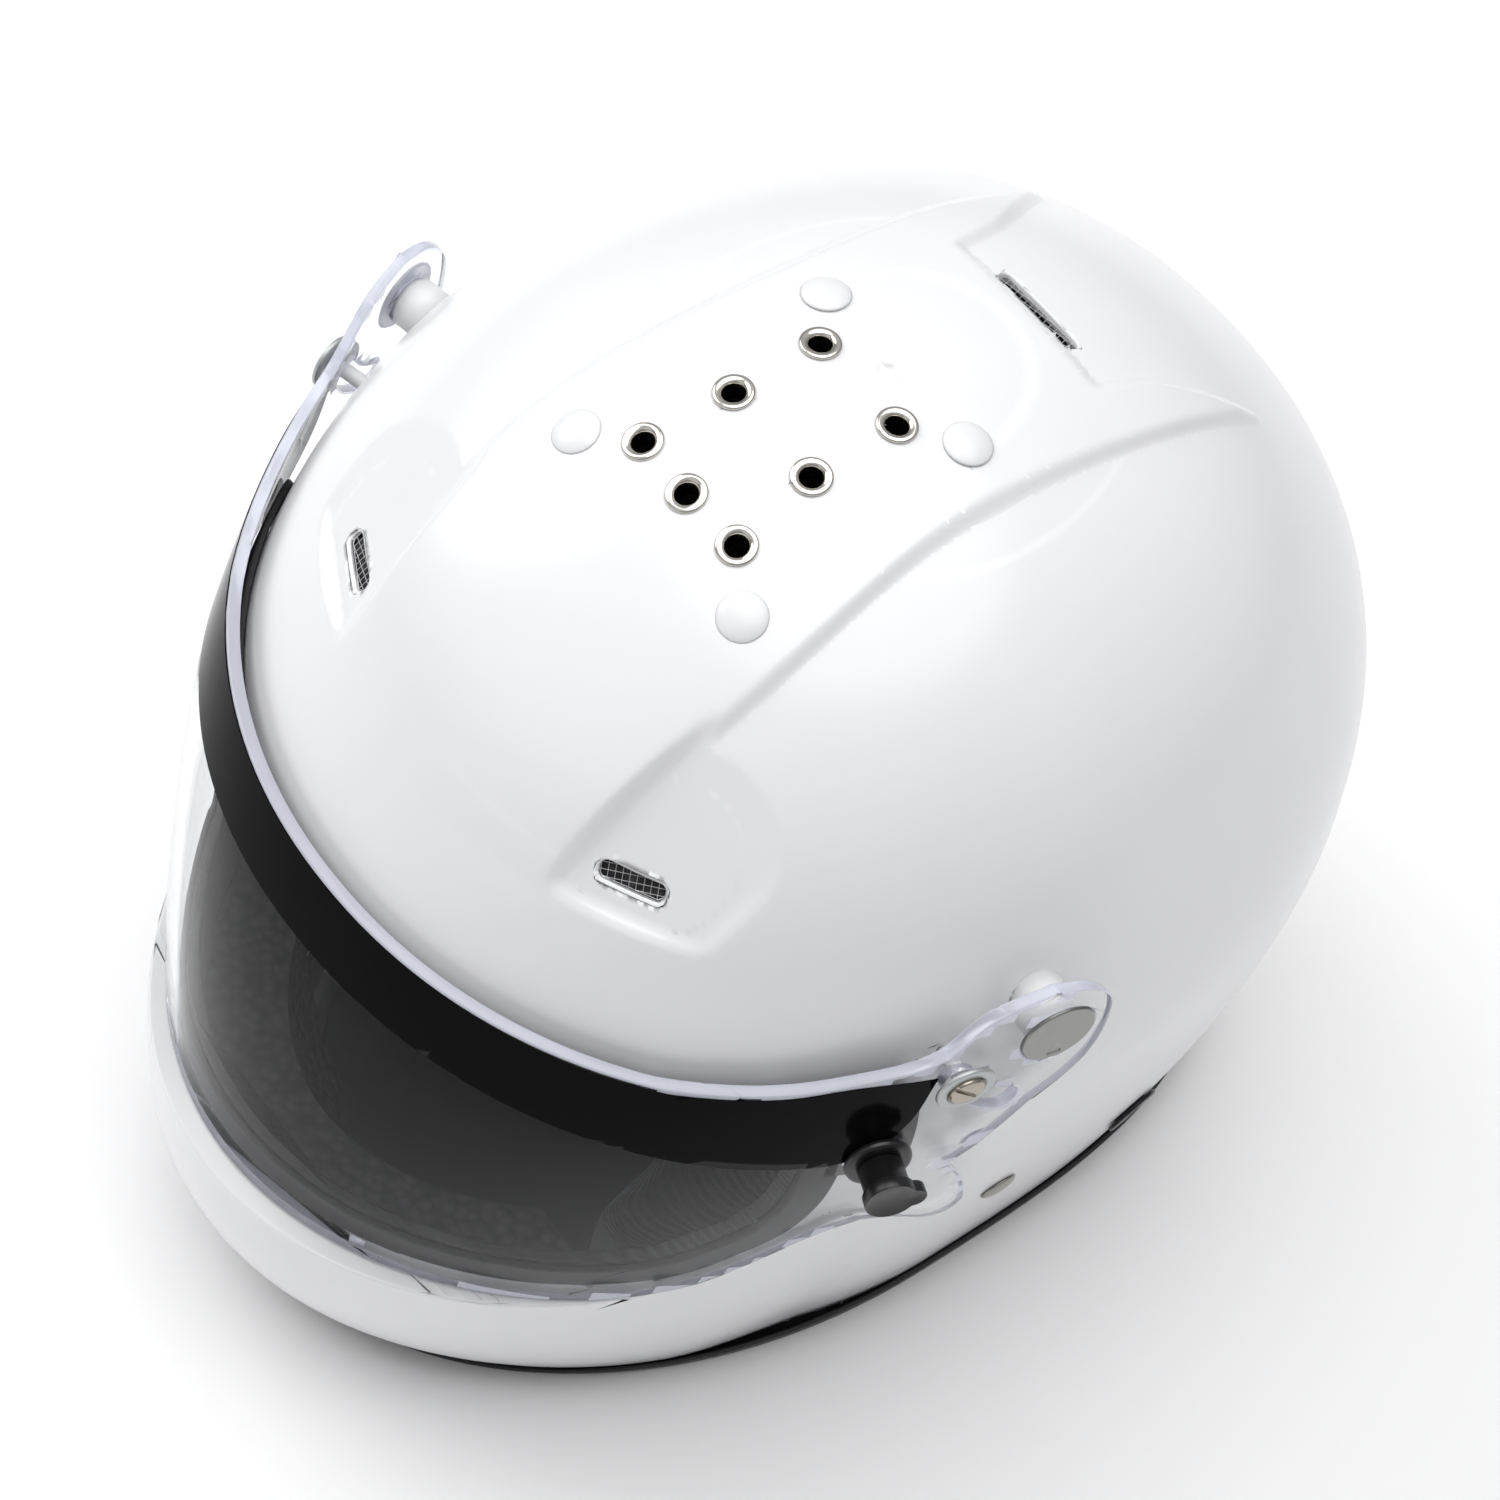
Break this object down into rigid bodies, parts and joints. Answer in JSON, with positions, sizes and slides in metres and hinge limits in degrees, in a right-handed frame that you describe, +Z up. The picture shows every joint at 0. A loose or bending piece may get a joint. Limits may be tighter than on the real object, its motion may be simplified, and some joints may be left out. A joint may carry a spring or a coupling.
{
  "type": "auto racing helmet",
  "caption": "Full-face auto racing helmet with a hinged clear shield, a pull-knob latch, crown eyelets, padded liner, chin strap and threaded restraint anchors.",
  "frame": {"origin": "centre of the box at the level of the bottom rim", "axes": "+Z up, the helmet faces -Y, the wearer's left is +X"},
  "size_m": [0.264, 0.3218, 0.2668],
  "materials": {
    "gelcoat": "glossy",
    "trim_rubber": "matte",
    "seal_rubber": "matte",
    "clear_shield": "clear",
    "strip_film": "glossy film",
    "satin_disc": "satin",
    "bush_plastic": "matte",
    "bright_screw": "bright",
    "washer_alloy": "satin",
    "knob_plastic": "fine matte",
    "rivet_metal": "brushed",
    "eyelet_metal": "bright",
    "plug_plastic": "glossy",
    "vent_wire": "dark wire",
    "impact_foam": "moulded foam",
    "liner_fabric": "brushed knit",
    "strap_webbing": "woven",
    "ring_steel": "bright",
    "insert_brass": "machined",
    "anchor_metal": "anodised"
  },
  "bodies": {
    "shell": {"outer_shell": "gelcoat", "shell_edge_trim": "trim_rubber", "eyeport_gasket": "seal_rubber", "latch_catch": "knob_plastic", "pivot_post_left": "bush_plastic", "pivot_post_right": "bush_plastic", "pivot_nuts": "insert_brass", "guide_inserts": "insert_brass", "chin_strap_rivets": "rivet_metal", "strap_plates": "ring_steel", "crown_eyelets": "eyelet_metal", "duct_plugs": "plug_plastic", "front_vent_mesh_left": "vent_wire", "front_vent_mesh_right": "vent_wire", "rear_vent_mesh": "vent_wire", "crown_foam": "impact_foam", "chin_foam": "impact_foam", "comfort_liner": "liner_fabric", "brow_pad": "liner_fabric", "cheek_pad_left": "liner_fabric", "cheek_pad_right": "liner_fabric", "neck_roll": "liner_fabric", "chin_strap_left": "strap_webbing", "chin_strap_right": "strap_webbing", "restraint_anchors": "anchor_metal"},
    "shield_frame": {"shield": "clear_shield", "shield_sunstrip": "strip_film", "pivot_disc_left": "satin_disc", "pivot_disc_right": "satin_disc", "latch_flange": "knob_plastic", "latch_spring": "bright_screw"},
    "latch_pull": {"latch_knob": "knob_plastic", "latch_pin": "bright_screw"},
    "guide_left": {"guide_screw_left": "bright_screw", "guide_washer_left": "washer_alloy"},
    "guide_right": {"guide_screw_right": "bright_screw", "guide_washer_right": "washer_alloy"},
    "strap_rings": {"d_ring_inner": "ring_steel", "d_ring_outer": "ring_steel"}
  },
  "joints": [
    {"name": "shield_hinge", "type": "hinge", "parent": "shell", "child": "shield_frame", "pos_m": [0, -0.0263, 0.1866], "axis": [-1, 0, 0], "range_deg": [0, 40]},
    {"name": "latch_slide", "type": "slide", "parent": "shield_frame", "child": "latch_pull", "axis": [0.915, -0.3994, 0.0576], "range_m": [0, 0.004], "stiffness_N_per_m": 1500, "springref_m": -0.002, "deforming": ["latch_spring"]},
    {"name": "guide_left_lift", "type": "slide", "parent": "shell", "child": "guide_left", "axis": [0.9659, -0.2588, 0], "range_m": [0, 0.0052]},
    {"name": "guide_right_lift", "type": "slide", "parent": "shell", "child": "guide_right", "axis": [-0.9659, -0.2588, 0], "range_m": [0, 0.0052]},
    {"name": "ring_swing", "type": "hinge", "parent": "shell", "child": "strap_rings", "pos_m": [0.062, 0.0009, 0.0094], "axis": [0, -1, 0], "range_deg": [0, 50]}
  ],
  "couplings": [
    {"joint": "guide_left_lift", "follows": "shield_hinge", "m_per_rad": 0.0073},
    {"joint": "guide_right_lift", "follows": "shield_hinge", "m_per_rad": 0.0073}
  ]
}
